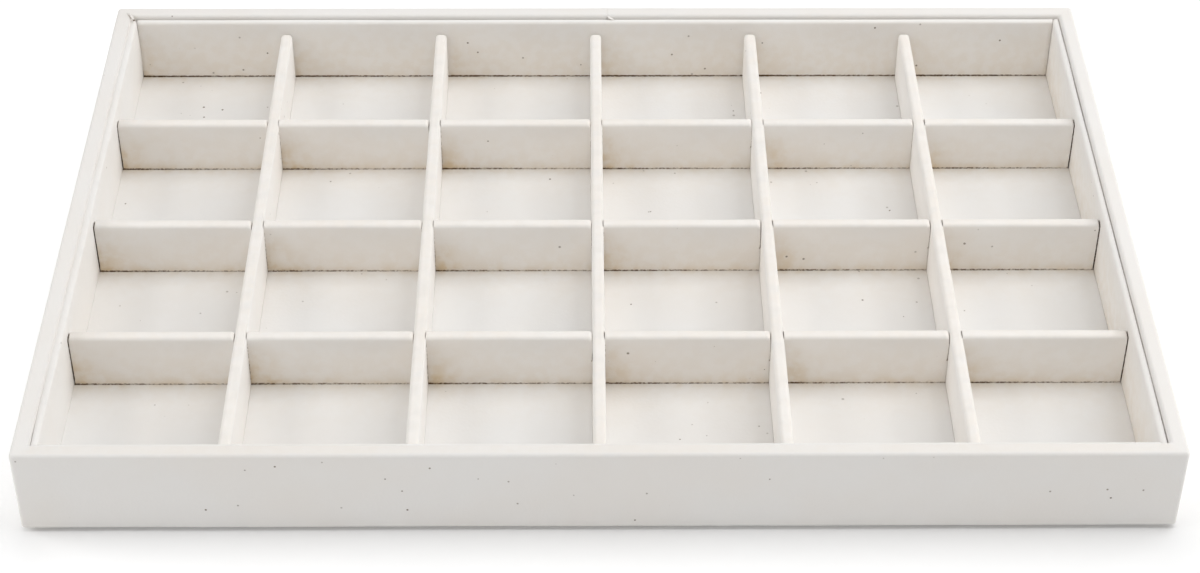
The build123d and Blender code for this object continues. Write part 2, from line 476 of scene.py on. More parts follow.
leather = {
    "thickness": 0.38 * mm,
    "weldReach": 0.002 * mm,  # corners nearer than this are one
    "longWave": (38.0 * mm, 0.09 * mm),  # breadth and height of the slow unevenness
    "shortWave": (9.0 * mm, 0.035 * mm),
}
tiny = 0.01 * mm
halfRound = 0.29  # what the longest part of a unit vector lacks of 1, half way round an edge


def everywhere(middle):
    return True


def newSheet():
    bm = bmesh.new()
    marks = {name: bm.verts.layers.float.new(name) for name in ("turnedEdge", "stain", "grime")}
    return {"bm": bm, "corners": {}, "sharp": {}, "marks": marks}


def corner(sheet, place):
    key = tuple(round(c / leather["weldReach"]) for c in place)
    if key not in sheet["corners"]:
        vert = sheet["bm"].verts.new(place)
        sheet["corners"][key] = vert
        sheet["sharp"][vert] = Vector(place)
    return sheet["corners"][key]


def mark(sheet, vert, **values):
    for name, value in values.items():
        vert[sheet["marks"][name]] = min(1.0, max(0.0, value))


# Adds one cell, unless its corners fall together
def cell(sheet, places, outward=None):
    verts = list(dict.fromkeys(corner(sheet, place) for place in places))
    if len(verts) < 3:
        return
    face = sheet["bm"].faces.new(verts)
    face.smooth = True
    face.normal_update()
    if outward is not None and face.normal.dot(outward) < 0:
        face.normal_flip()


# Adds a grid over two axes, at a fixed place on the third
def grid(sheet, fixedAxis, fixedAt, side, lines, keeps):
    axisA, axisB = [axis for axis in range(3) if axis != fixedAxis]
    outward = Vector()
    outward[fixedAxis] = side

    def at(a, b):
        place = Vector()
        place[fixedAxis] = fixedAt
        place[axisA] = a
        place[axisB] = b
        return place

    for a1, a2 in zip(lines[axisA], lines[axisA][1:]):
        for b1, b2 in zip(lines[axisB], lines[axisB][1:]):
            if keeps(at((a1 + a2) / 2, (b1 + b2) / 2)):
                cell(sheet, [at(a1, b1), at(a2, b1), at(a2, b2), at(a1, b2)], outward)


# The four upright sides of a box
def addSides(sheet, low, high, lines, keeps=everywhere):
    for axis in range(2):
        grid(sheet, axis, low[axis], -1, lines, keeps)
        grid(sheet, axis, high[axis], 1, lines, keeps)


# How far into an edge zone its lines lie, so that they end up evenly spaced round the arc
def arcLines(radius, steps=4):
    return [radius * math.tan(math.pi / 4 * k / steps) for k in range(steps + 1)]


# Sine and cosine of each step of a quarter turn
def quarterTurn(steps):
    angles = [math.pi / (2 * steps) * k for k in range(1, steps + 1)]
    return [(math.sin(angle), math.cos(angle)) for angle in angles]


def spread(start, end, pitch):
    count = max(1, round(abs(end - start) / pitch))
    return [start + (end - start) * k / count for k in range(count + 1)]


# Lines from the first stop to the last through all of them, no further apart than the pitch
def linesThrough(stops, pitch):
    stops = sorted(stops)
    lines = [stops[0]]
    for start, end in zip(stops, stops[1:]):
        if end - start > 2 * leather["weldReach"]:
            lines += spread(start, end, pitch)[1:]
    return lines


# The lines of a box's grid on one axis: round both edges, and through any stops between them
def edgedLines(low, high, radii, pitch, stops=()):
    lines = [low + d for d in arcLines(radii[0])] + [high - d for d in arcLines(radii[1])]
    return linesThrough(lines + list(stops), pitch)


# The heights of that grid's lines: from the foot through the stops, and round the top edge
def risingLines(low, high, stops, radius, pitch):
    return linesThrough([low, *stops] + [high - d for d in arcLines(radius)], pitch)


# Moves a corner of the sharp box onto the box with rounded edges, and says how far round it went,
# with 1 half way round an edge. Each axis has a pair of radii, for its low and its high side.
# Nothing is bent at the foot.
def bendOver(place, low, high, radii):
    inner = Vector()
    away = Vector()
    for axis, (radiusLow, radiusHigh) in enumerate(radii):
        inner[axis] = min(place[axis], high[axis] - radiusHigh)
        if axis < 2:
            inner[axis] = max(inner[axis], low[axis] + radiusLow)
        reach = radiusHigh if place[axis] > inner[axis] else radiusLow
        away[axis] = (place[axis] - inner[axis]) / reach
    if away.length < 1e-6:
        return place.copy(), 0.0
    away.normalize()
    turned = (1.0 - max(abs(c) for c in away)) / halfRound
    return inner + Vector([away[a] * radii[a][1 if away[a] > 0 else 0] for a in range(3)]), turned


def ripple(place, wave, seed):
    breadth, height = wave
    return height * noise.noise(Vector(place) / breadth + Vector((seed, 2.3 * seed, -1.7 * seed)))


# Uneven teeth along a hand-cut edge, of a pair of height and breadth
def teeth(place, size, seed):
    height, breadth = size
    return height * max(0.0, 0.25 + 1.2 * noise.noise(place / breadth + Vector((0, 0, seed))))


# A value that varies from place to place, from its evenness, its unevenness and the breadth of that
def patchy(place, values):
    even, uneven, breadth = values
    return even + uneven * noise.noise(place / breadth)


# Between the two numbers of a pair, or the first and a share of the second
def between(pair, share):
    return pair[0] + (pair[1] - pair[0]) * share


def adding(pair, share):
    return pair[0] + pair[1] * share


# 1 at a place, fading away from it
def gather(distance, reach):
    return math.exp(-((distance / reach) ** 2))


# A spot, from its strength, its reach to the right and its reach upward
def spotAt(away, up, values):
    strength, right, upward = values
    return strength * gather(away, right) * gather(up, upward)


# Gives a sheet its unevenness and its thickness, and puts it in the place of its plain node. The kind
# is the first word of its slot and of its material.
def finishSheet(sheet, name, node, body, kind, seed, liveliness=1.0, turn=None):
    bm = sheet["bm"]
    bm.normal_update()
    moves = {}
    for vert in bm.verts:
        lift = ripple(vert.co, leather["longWave"], seed) + ripple(vert.co, leather["shortWave"], seed + 7)
        moves[vert] = vert.normal * lift * liveliness
    for vert, move in moves.items():
        vert.co += move
    if turn is not None:
        bm.transform(turn)
    mesh = bpy.data.meshes.new(name)
    bm.to_mesh(mesh)
    bm.free()
    mesh.materials.append(materials[kind + "Leatherette"])
    mesh.materials.append(materials["leatheretteBacking"])
    piece = addObject(name, mesh)
    shell = piece.modifiers.new("thickness", "SOLIDIFY")
    shell.thickness = leather["thickness"]
    shell.offset = -1.0
    shell.material_offset = 1
    shell.material_offset_rim = 1
    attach(piece, body)
    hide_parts(node)


# Dividers

divider = {
    "pitch": 1.1 * mm,
    "pitchAlong": 1.2,  # times the pitch, along a column
    "pitchUp": 1.5,  # times the pitch, up a face
    "rowSeed": 11.0,
    "columnSeed": 31.0,
    "lapDepth": 9.825 * mm,
    "lapReach": 2.25 * mm,  # from the middle of a column's lap to its side
    "edge": 1.3 * mm,
    "rowEnd": 0.45 * mm,  # roll of a row's top over its cut ends
    "mouth": (1.2 * mm, 0.3 * mm),  # roll over the left and the right side of a lap
    "mouthPull": 3.2 * mm,  # how far down a face that roll draws the skin
    "leftGap": (0.04 * mm, 0.15 * mm),  # skin to column, at the foot and at the top of a lap
    "leftGapLuck": 0.8,  # how much that gap differs from lap to lap
    "rightGap": -0.05 * mm,  # pressed against the column
    "creaseReach": 0.20 * mm,  # breadth of the painted shade line beside a column
    # painted shade at the right of a column, darkest low down
    "creaseShade": 0.58,
    "overcut": (0.24 * mm, 0.20 * mm),  # nick at the bottom of a lap: its breadth, half its height
    "raggedness": (0.14 * mm, 1.7 * mm),  # of the cut edges: height and breadth
    # grime and painted shade on a row's cut edges, where they open onto a gap
    "cutGrimeAndShade": 0.75,
    "cutWear": 0.6,
    "rest": 0.15 * mm,  # what the boards stand clear of the floor
    "footGap": (0.055 * mm, 0.125 * mm),  # under a row's front, at the right and left of a compartment
    "footFade": 26.0 * mm,
    "footTeeth": (0.04 * mm, 0.9 * mm),  # height and breadth
    "teethLeast": 0.3,  # share of that height at the right of a compartment
    # painted shade along a row's front foot, at the right and at the left of a compartment
    "footShade": (0.46, 0.70),
    "columnFoot": (0.08 * mm, -0.02 * mm),  # under a column's left and right face
    "columnTeeth": (0.4, 1.6 * mm),  # share of that gap, and breadth
    "columnFootShade": 0.45,  # painted shade along a column's left foot
    "grimeLines": (0.30 * mm, 0.85 * mm),  # heights up to which the foot carries painted shade, and is clean again
    "topTint": 0.13,  # a warm, darker tint on the tops
    "rubbedTop": {"row": 0.5, "column": 0.9},  # wear on the tops, as if they were turned edges
    "endReach": (0.08 * mm, 0.30 * mm),  # how much nearer its liner a row's skin ends, at the foot and the top
}


def middleOf(node):
    low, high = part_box(node)
    return (Vector(low) + Vector(high)) / 2


def dividersOf(kind):
    return sorted({node.rsplit("_", 1)[0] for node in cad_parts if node.startswith(kind + "_divider_")})


columnNames = dividersOf("column")
rowNames = dividersOf("row")
columnPlaces = [middleOf(name + "_cover").x for name in columnNames]
rowPlaces = [middleOf(name + "_cover").y for name in rowNames]
halfColumn = 2 * mm  # from the middle of a column to its side


def rollDown(away, radius):
    if away < -tiny or away >= radius:
        return 0.0
    return radius - math.sqrt(max(0.0, radius ** 2 - (radius - max(away, 0.0)) ** 2))


# The laps of a row: where its skin ends on both sides of each column
def rowLaps(half, seed):
    laps = []
    for k, x in enumerate(columnPlaces):
        luck = noise.noise(Vector((3.1 * k, seed, 0.5)))
        left = x - half - divider["leftGap"][1] * (1 + divider["leftGapLuck"] * luck)
        laps.append({"left": left, "right": x + half + divider["rightGap"], "luck": luck})
    return laps


# How far right of the start of its compartment a place on a row is
def intoCompartment(x, starts):
    return min((x - start for start in starts if x >= start - tiny), default=0.0)


def rowSkin(name, seed):
    low, high = [Vector(c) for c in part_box(name + "_cover")]
    middleY = (low.y + high.y) / 2
    low.y -= middleY
    high.y -= middleY
    edge = divider["edge"]
    radii = ((tiny, tiny), (edge, edge), (edge, edge))
    lapFloor = high.z - divider["lapDepth"]
    laps = rowLaps(high.y, seed)
    starts = [low.x] + [lap["right"] for lap in laps]
    mouthLeft, mouthRight = divider["mouth"]
    cutX, cutZ = divider["overcut"]
    turns = [0.0] + [1 - cosine for sine, cosine in quarterTurn(6)]
    stops = [low.x, high.x]
    stops += [low.x + divider["rowEnd"] * t for t in turns] + [high.x - divider["rowEnd"] * t for t in turns]
    for lap in laps:
        stops += [lap["left"] - mouthLeft * t for t in turns] + [lap["right"] + mouthRight * t for t in turns]
        stops.append(lap["left"] - cutX)
    heights = [low.z + up for up in divider["grimeLines"]] + [lapFloor - cutZ, lapFloor, lapFloor + cutZ]
    lines = {
        0: linesThrough(stops, divider["pitch"]),
        1: edgedLines(low.y, high.y, radii[1], divider["pitch"]),
        2: risingLines(low.z, high.z, heights, edge, divider["pitchUp"] * divider["pitch"]),
    }

    def keeps(middle):
        for lap in laps:
            if lap["left"] < middle.x < lap["right"] and middle.z > lapFloor:
                return False
            inCut = lap["left"] - cutX < middle.x < lap["left"] and abs(middle.z - lapFloor) < cutZ
            if inCut and lap["luck"] > 0.0 and middle.y < 0:
                return False
        return True

    sheet = newSheet()
    grid(sheet, 1, low.y, -1, lines, keeps)
    grid(sheet, 1, high.y, 1, lines, keeps)
    grid(sheet, 2, high.z, 1, lines, keeps)
    for vert, sharp in sheet["sharp"].items():
        place, turned = bendOver(sharp, low, high, radii)
        pull = min(1.0, max(0.0, 1 + (sharp.z - high.z) / divider["mouthPull"]))
        sink = rollDown(sharp.x - low.x, divider["rowEnd"]) + rollDown(high.x - sharp.x, divider["rowEnd"])
        cut = abs(sharp.x - low.x) < tiny or abs(sharp.x - high.x) < tiny
        for lap in laps:
            sink += rollDown(lap["left"] - sharp.x, mouthLeft) + rollDown(sharp.x - lap["right"], mouthRight)
            if abs(sharp.x - lap["left"]) < tiny and sharp.z > lapFloor:
                down = (high.z - sharp.z) / divider["lapDepth"]
                place.x += (divider["leftGap"][1] - divider["leftGap"][0]) * down
                cut = True
        if abs(sharp.x) > high.x - tiny:
            up = (sharp.z - low.z) / (high.z - low.z)
            place.x += math.copysign(between(divider["endReach"], up), sharp.x)
        if cut:
            raggedHeight, raggedBreadth = divider["raggedness"]
            place.x += raggedHeight * noise.noise(sharp / raggedBreadth)
        place.z -= sink * pull
        away = intoCompartment(sharp.x, starts)
        # cut edges get grime and painted shade from the gap beside them
        grime = divider["cutGrimeAndShade"] if cut else 0.0
        # The foot stands a little clear of the floor and gets painted shade, darkest at a compartment's left
        if sharp.z < low.z + divider["grimeLines"][0] + tiny:
            share = math.exp(-away / divider["footFade"]) if sharp.y < 0 else 0.0
            jagged = teeth(sharp, divider["footTeeth"], seed) * (divider["teethLeast"] + share)
            place.z += between(divider["footGap"], share) + jagged - divider["rest"]
            grime = between(divider["footShade"], share)
        # Painted shade in the crease at the right side of each column, darker downward
        beside = min((sharp.x - lap["right"] for lap in laps if sharp.x > lap["right"] - tiny), default=1.0)
        if beside < divider["creaseReach"] and sharp.y < 0:
            down = min(1.0, (high.z - sharp.z) / divider["mouthPull"])
            grime = max(grime, divider["creaseShade"] * down)
        vert.co = place
        onTop = sharp.z > high.z - tiny
        wear = max(turned, divider["cutWear"] if cut else 0.0, divider["rubbedTop"]["row"] * onTop)
        mark(sheet, vert, turnedEdge=wear, grime=grime)
        # stain and painted warm shade on a row's front
        if sharp.y < 0:
            mark(sheet, vert, stain=rowStainAndShade(sharp, low, high, away))
        if onTop:
            mark(sheet, vert, stain=divider["topTint"])
    turn = Matrix.Translation((0, middleY, 0))
    finishSheet(sheet, name + "Skin", name + "_cover", name, "divider", seed, turn=turn)


rowStainsAndShade = {  # reaches upward are shares of the row's own height
    "spot": (0.75, 7.0 * mm, 0.55),  # stain and painted warm shade at a compartment's left: strength, reach to the right, reach upward
    "foot": (0.30, 0.12),  # painted shade at the foot: strength, reach upward
    "blotch": (0.85, 0.8, 4 * mm),  # evenness, unevenness and breadth of those two
    "wash": (0.05, 0.20),  # painted shade: all over, and what the foot has more than the top
}


# Stains and painted warm shade gather low down at the left of each compartment, on the front of a row, and
# painted shade lies over the whole front, more at the foot
def rowStainAndShade(sharp, low, high, away):
    up = (sharp.z - low.z) / (high.z - low.z)
    strength, upward = rowStainsAndShade["foot"]
    spots = spotAt(away, up, rowStainsAndShade["spot"]) + strength * gather(up, upward)
    return spots * patchy(sharp, rowStainsAndShade["blotch"]) + adding(rowStainsAndShade["wash"], 1 - up)


def columnSkin(name, seed):
    low, high = [Vector(c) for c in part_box(name + "_cover")]
    middleX = (low.x + high.x) / 2
    half = (high.x - low.x) / 2
    low = Vector((low.y, -half, low.z))  # drawn along X, and turned into place at the end
    high = Vector((high.y, half, high.z))
    edge = divider["edge"]
    radii = ((edge, edge),) * 3
    lapTop = low.z + divider["lapDepth"]
    lapReach = divider["lapReach"]
    stops = [y + side * lapReach for y in rowPlaces for side in (-1, 1)]
    heights = [low.z + divider["grimeLines"][1], lapTop]
    lines = {
        0: edgedLines(low.x, high.x, radii[0], divider["pitchAlong"] * divider["pitch"], stops),
        1: edgedLines(low.y, high.y, radii[1], divider["pitch"]),
        2: risingLines(low.z, high.z, heights, edge, divider["pitchUp"] * divider["pitch"]),
    }

    def keeps(middle):
        return middle.z > lapTop or all(abs(middle.x - y) > lapReach for y in rowPlaces)

    sheet = newSheet()
    addSides(sheet, low, high, lines, keeps)
    grid(sheet, 2, high.z, 1, lines, keeps)
    for vert, sharp in sheet["sharp"].items():
        place, turned = bendOver(sharp, low, high, radii)
        if abs(sharp.z - low.z) < tiny:
            leftFoot, rightFoot = divider["columnFoot"]
            gap = leftFoot if sharp.y > 0 else rightFoot
            place.z += gap * (1 + teeth(sharp, divider["columnTeeth"], seed)) - divider["rest"]
            # painted shade along the left foot only, the side away from the light
            mark(sheet, vert, grime=divider["columnFootShade"] if sharp.y > 0 else 0.0)
        vert.co = place
        onTop = sharp.z > high.z - tiny
        wear = max(turned, divider["rubbedTop"]["column"] * onTop)
        mark(sheet, vert, turnedEdge=wear, stain=divider["topTint"] * onTop)
    turn = Matrix.Translation((middleX, 0, 0)) @ Matrix.Rotation(math.pi / 2, 4, "Z")
    finishSheet(sheet, name + "Skin", name + "_cover", name, "divider", seed, turn=turn)


for k, name in enumerate(rowNames):
    rowSkin(name, divider["rowSeed"] + k)
for k, name in enumerate(columnNames):
    columnSkin(name, divider["columnSeed"] + k)
print("dividers wrapped")


# Liner. Its skin is tight over the groove and full towards the compartments.

liner = {
    "pitch": 1.5 * mm,
    "seed": 51.0,
    "tightEdge": {"front": 0.40 * mm, "back": 0.40 * mm, "left": 0.24 * mm, "right": 0.40 * mm},
    "fullEdge": 1.35 * mm,
    "topEdge": 1.2 * mm,
    "end": 0.12 * mm,
    "liveliness": {"left": 1.6},  # times the usual unevenness
    "bow": (0.32 * mm, 30 * mm),  # how far the left side swells near the back, and its length
    "fullness": {"left": -0.60 * mm, "right": 0.24 * mm},  # how far its back fills the groove at the top
    "fullDown": 0.35,  # how far down it does, as a share of the height
    "fullWave": (0.9, 0.3, 25 * mm),  # evenness of that, its unevenness, breadth
    "gapAtFront": (12.0 * mm, 0.42),  # how far the left groove opens at the front: its length, its share
    "foot": {  # least and greatest gap under its inner face
        "front": (0.0, 0.1 * mm),
        "back": (0.14 * mm, 0.25 * mm),
        "left": (0.0, 0.02 * mm),
        "right": (0.10 * mm, 0.10 * mm),
    },
    "footFade": 30.0 * mm,
    "footTeeth": (0.02 * mm, 2.5 * mm),
    "footShade": {"back": (0.66, 0.34), "right": (0.4, 0.0)},  # painted shade at the foot: all along, more at a compartment's left
    "rowEndShade": (3.0 * mm, 0.78, 0.8),  # painted shade in the gap behind a row's end on a side: how far back from the row's front, how high, how dark
    "cornerDarkening": (0.45, 0.4),  # darker in the upright corners at the back: at the top, and more at the foot
    "cornerReach": 0.3 * mm,
    "grooveShade": 0.42,  # painted shade along the open groove at the right
    "grooveFrom": (0.9, 0.88),  # shares of the thickness and of the height where it begins
    "backShade": (0.08, 0.26),  # painted warm shade on the back's inner face: at the top, and more at the foot
    "backSpot": (0.35, 5 * mm, 0.5),  # stain and painted warm shade at a compartment's left: strength, reach to the right, reach upward
    "rightShade": 0.34,  # painted shade on the inner face, growing to the foot
}


def linerSkin(side, seed):
    node = side + "_liner_cover"
    low, high = [Vector(c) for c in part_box(node)]
    thickAxis = 1 if side in ("front", "back") else 0
    inward = 1 if side in ("front", "left") else -1  # the way from the wall to the compartments
    tight = liner["tightEdge"][side]
    radii = [(liner["end"],) * 2, (liner["end"],) * 2, (liner["topEdge"],) * 2]
    radii[thickAxis] = (tight, liner["fullEdge"])[::inward]
    rowEndShadeReach, rowEndShadeHeight, rowEndShadeStrength = liner["rowEndShade"]
    grooveAcross, grooveUp = liner["grooveFrom"]
    fronts = [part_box(row + "_cover")[0][1] for row in rowNames] if side in ("left", "right") else []
    # grid lines round the painted shade behind each row's end
    rubbed = [y + d for y in fronts for d in (-0.2 * mm, 0.1 * mm, rowEndShadeReach, rowEndShadeReach + 0.5 * mm)]
    heights = [low.z + up for up in divider["grimeLines"]]
    lines = {
        0: edgedLines(low.x, high.x, radii[0], liner["pitch"]),
        1: edgedLines(low.y, high.y, radii[1], liner["pitch"], rubbed),
        2: risingLines(low.z, high.z, heights, liner["topEdge"], liner["pitch"]),
    }
    sheet = newSheet()
    addSides(sheet, low, high, lines)
    grid(sheet, 2, high.z, 1, lines, everywhere)
    starts = sorted([low.x] + [x + halfColumn for x in columnPlaces])
    innerFace = high if inward > 0 else low
    for vert, sharp in sheet["sharp"].items():
        up = (sharp.z - low.z) / (high.z - low.z)
        away = intoCompartment(sharp.x, starts)
        depth = abs(sharp[thickAxis] - innerFace[thickAxis])
        across = depth / (high[thickAxis] - low[thickAxis])
        inside = depth < tiny
        roll = liner["topEdge"] if across < 0.5 else tight
        place, turned = bendOver(sharp, low, high, radii[:2] + [(roll, roll)])
        if side in liner["fullness"]:
            swell = gather(1 - up, liner["fullDown"]) * patchy(sharp, liner["fullWave"])
            if side == "left":
                reach, share = liner["gapAtFront"]
                swell *= 1 - share * gather(sharp.y - low.y, reach)
            place.x += liner["fullness"][side] * swell * across
        if side == "left":
            swelling, length = liner["bow"]
            place.x += swelling * gather(high.y - sharp.y, length) * math.sin(math.pi * up)
        behind = [sharp.y - front for front in fronts if 0 < sharp.y - front < rowEndShadeReach + tiny]
        # painted shade on a side in the gap behind each row's end
        if behind and inside and up < rowEndShadeHeight:
            mark(sheet, vert, grime=rowEndShadeStrength)
        # painted shade along the foot of the liner's inner face
        if sharp.z < low.z + divider["grimeLines"][0] + tiny and inside:
            share = math.exp(-away / liner["footFade"]) if side == "back" else 0.5
            place.z += between(liner["foot"][side], share) + teeth(sharp, liner["footTeeth"], seed)
            mark(sheet, vert, grime=adding(liner["footShade"].get(side, (0.0, 0.0)), share))
        # a darker line in the upright corners at the back
        if side in liner["fullness"] and inside and high.y - sharp.y < liner["cornerReach"]:
            mark(sheet, vert, grime=adding(liner["cornerDarkening"], 1 - up))
        # painted shade in the open groove at the right
        if side == "right" and across > grooveAcross and up > grooveUp:
            mark(sheet, vert, grime=liner["grooveShade"])
        vert.co = place
        stain = 0.0
        # painted warm shade, with stain at each compartment's left, on the back's inner face
        if side == "back" and inside:
            stain = adding(liner["backShade"], 1 - up) + spotAt(away, up, liner["backSpot"])
        # painted shade on the right side's inner face, darker downward
        if side == "right" and inside:
            stain = liner["rightShade"] * (1 - up)
        mark(sheet, vert, turnedEdge=turned, stain=stain)
    liveliness = liner["liveliness"].get(side, 1.0)
    finishSheet(sheet, side + "LinerSkin", node, "tray", "liner", seed, liveliness)


for k, side in enumerate(("front", "back", "left", "right")):
    linerSkin(side, liner["seed"] + k)
print("liner wrapped")


# Floor

floorCloth = {
    "pitch": 2.2 * mm,
    "seed": 71.0,
    "liveliness": 0.4,
    "seamBand": (0.25 * mm, 0.6 * mm, 1.2 * mm, 2.2 * mm, 3.4 * mm),  # lines in front of each row
    # painted warm shade on the floor just in front of each row
    "seamShade": 0.42,
    "seamReach": 2.4 * mm,
    "washShade": 0.14,  # a wider, fainter painted shadow in front of each row
    "washReach": 17.0 * mm,
    "patches": (0.8, 0.7, 3 * mm),  # evenness of the painted shade at the seam, its unevenness, breadth
    "shares": (0.45, 1.0),  # of that painted shade at the right and at the left of a compartment
    "grime": (0.45, 0.5),  # painted shade in the seam: all along, and more at the left
    "grimeReach": 0.22 * mm,
}


def floorSkin():
    low, high = [Vector(c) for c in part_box("floor_cover")]
    fronts = [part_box(name + "_cover")[0][1] for name in rowNames] + [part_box("back_liner_cover")[0][1]]
    stopsY = [front - d for front in fronts for d in (0.0,) + floorCloth["seamBand"]]
    stopsX = [x + side * halfColumn for x in columnPlaces for side in (-1, 1)]
    lines = {
        0: linesThrough([low.x, high.x] + stopsX, floorCloth["pitch"]),
        1: linesThrough([low.y, high.y] + stopsY, floorCloth["pitch"]),
    }
    sheet = newSheet()
    grid(sheet, 2, high.z, 1, lines, everywhere)
    starts = [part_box("left_liner_cover")[1][0]] + [x + halfColumn for x in columnPlaces]
    for vert, sharp in sheet["sharp"].items():
        before = min((front - sharp.y for front in fronts if front - sharp.y > -tiny), default=1.0)
        share = math.exp(-intoCompartment(sharp.x, starts) / divider["footFade"])
        # Painted shade on the floor in front of each row: a warm band at the seam, a wider fainter shadow, and
        # a dark line in the seam
        seam = floorCloth["seamShade"] * gather(before, floorCloth["seamReach"])
        seam *= between(floorCloth["shares"], share) * patchy(sharp, floorCloth["patches"])
        wash = floorCloth["washShade"] * gather(before, floorCloth["washReach"])
        grime = adding(floorCloth["grime"], share) * gather(before, floorCloth["grimeReach"])
        mark(sheet, vert, stain=seam + wash, grime=grime)
    liveliness = floorCloth["liveliness"]
    finishSheet(sheet, "floorSkin", "floor_cover", "tray", "floor", floorCloth["seed"], liveliness)


floorSkin()
print("floor laid")


# Outer wrap

wrap = {
    "pitch": 2.0 * mm,
    "seed": 81.0,
    "wall": 5.3 * mm,
    "outerCorner": 1.3 * mm,
    "innerCorner": 0.8 * mm,
    "cornerSteps": 6,
    "cornerGap": 0.2 * mm,  # from a corner's curve to the first station of a side
    "rim": 1.2 * mm,
    "rimSteps": 6,
    "foot": 1.0 * mm,
    "footSteps": 5,
    "turnInDepth": 11.0 * mm,
    "turnUnder": 16.0 * mm,
    "seamAt": 3.0 * mm,
    "seamLines": (-1.0 * mm, 0.0, 1.0 * mm),  # stations beside the seam
    "overlap": 1.2 * mm,
    "overlapRise": 1.5 * mm,  # how long before the seam the upper end begins to rise
    "overlapLift": (0.01 * mm, 0.05 * mm),  # its height at the start and what it rises by
    "seamGrime": 0.62,
    "topTint": {"top": 0.0, "front": 0.10},  # a warm, darker tint on the rim's top; at the front it is painted shade
}


# The section of the wrap, from under the tray round to behind the liner. Each step is its inset, its
# height, how far round an edge it is, and the way outward there as inset and height.
def wrapSection(low, high):
    foot, rim, wall, pitch = wrap["foot"], wrap["rim"], wrap["wall"], wrap["pitch"]
    section = [(d, low.z, 0.0, (0, -1)) for d in spread(wrap["turnUnder"], foot, pitch)]
    for sine, cosine in quarterTurn(wrap["footSteps"]):
        section.append((foot - foot * sine, low.z + foot - foot * cosine, 2 * sine * cosine, (-sine, -cosine)))
    section += [(0.0, z, 0.0, (-1, 0)) for z in spread(low.z + foot, high.z - rim, pitch)[1:]]
    for sine, cosine in quarterTurn(wrap["rimSteps"]):
        section.append((rim - rim * cosine, high.z - rim + rim * sine, 2 * sine * cosine, (-cosine, sine)))
    section += [(d, high.z, 0.0, (0, 1)) for d in spread(rim, wall - rim, 0.5 * pitch)[1:]]
    for sine, cosine in quarterTurn(wrap["rimSteps"]):
        inset, z = wall - rim + rim * sine, high.z - rim + rim * cosine
        section.append((inset, z, 2 * sine * cosine, (sine, cosine)))
    section += [(wall, z, 0.0, (1, 0)) for z in spread(high.z - rim, high.z - wrap["turnInDepth"], pitch)[1:]]
    return section


# The stations of the wrap, from the lower end at the seam right round to the end that laps over it.
# Each is the way outward, the place along its side, the angle round a corner, and the lift.
def wrapStations(high):
    endX, endY = [c - wrap["wall"] - wrap["innerCorner"] - wrap["cornerGap"] for c in high.xy]
    seam, pitch, rise = wrap["seamAt"], wrap["pitch"], wrap["overlapRise"]
    start, lifted = wrap["overlapLift"]
    beside = [seam + d for d in wrap["seamLines"]]
    sides = [
        ((0, 1), spread(seam, endX, pitch)),
        ((1, 0), spread(endY, -endY, pitch)),
        ((0, -1), spread(endX, -endX, pitch)),
        ((-1, 0), spread(-endY, endY, pitch)),
        ((0, 1), linesThrough([-endX, *beside, seam + wrap["overlap"]], pitch)),
    ]
    corners = [((1, 1), 90), ((1, -1), 0), ((-1, -1), -90), ((-1, 1), -180)]
    stations = []
    for k, (way, alongs) in enumerate(sides):
        for along in alongs:
            lift = 0.0
            if k == 4 and along > seam - rise:
                lift = lifted * min(1.0, (along - seam + rise) / rise) + start
            stations.append({"way": way, "along": along, "angle": None, "lift": lift})
        if k < len(corners):
            way, first = corners[k]
            for step in range(wrap["cornerSteps"] + 1):
                angle = math.radians(first - 90 / wrap["cornerSteps"] * step)
                stations.append({"way": way, "along": 0.0, "angle": angle, "lift": 0.0})
    return stations


def wrapPlace(station, step, high):
    inset, z, _, outward = step
    inset += station["lift"] * outward[0]
    z += station["lift"] * outward[1]
    reachX = high.x - inset
    reachY = high.y - inset
    wayX, wayY = station["way"]
    if station["angle"] is None:
        x = wayX * reachX if wayX else min(max(station["along"], -reachX), reachX)
        y = wayY * reachY if wayY else min(max(station["along"], -reachY), reachY)
        return (x, y, z)
    radius = max(wrap["outerCorner"] - inset, wrap["innerCorner"])
    x = wayX * (reachX - radius) + radius * math.cos(station["angle"])
    y = wayY * (reachY - radius) + radius * math.sin(station["angle"])
    return (x, y, z)


tabs = {  # small ends of leatherette that curl up, each along a line in millimetres
    "seamTab": {
        "line": [(4.4, 114.9, 30.5), (5.1, 114.45, 30.15), (5.9, 114.2, 29.75), (6.7, 114.0, 29.65)],
        "width": 1.3 * mm,
        "curl": 0.35 * mm,
        "grime": 0.0,  # at its end
    },
    "cornerFold": {
        "line": [(-170.9, 115.9, 31.3), (-169.9, 114.9, 31.5), (-168.9, 113.7, 31.1), (-168.3, 112.7, 30.1)],
        "width": 1.0 * mm,
        "curl": 0.20 * mm,
        "grime": 1.0,
    },
}
tabLines = (-0.5, -0.25, 0.0, 0.25, 0.5)  # the lines across a tab, as shares of its width


# A short strip along a line, raised in the middle like a dried edge of leatherette
def addTab(sheet, tab):
    line = [Vector(place) * mm for place in tab["line"]]
    rows = []
    for k, place in enumerate(line):
        ahead = line[min(k + 1, len(line) - 1)] - line[max(k - 1, 0)]
        across = Vector((-ahead.y, ahead.x, 0)).normalized()
        taper = math.sin(math.pi * (0.25 + 0.6 * k / (len(line) - 1)))
        rows.append([
            place + across * tab["width"] * taper * t + Vector((0, 0, tab["curl"] * taper * (1 - 4 * t * t)))
            for t in tabLines
        ])
    for row, following in zip(rows, rows[1:]):
        for k in range(len(tabLines) - 1):
            cell(sheet, [row[k], row[k + 1], following[k + 1], following[k]], Vector((0, 0, 1)))
    for place in rows[-1]:
        mark(sheet, corner(sheet, place), grime=tab["grime"])


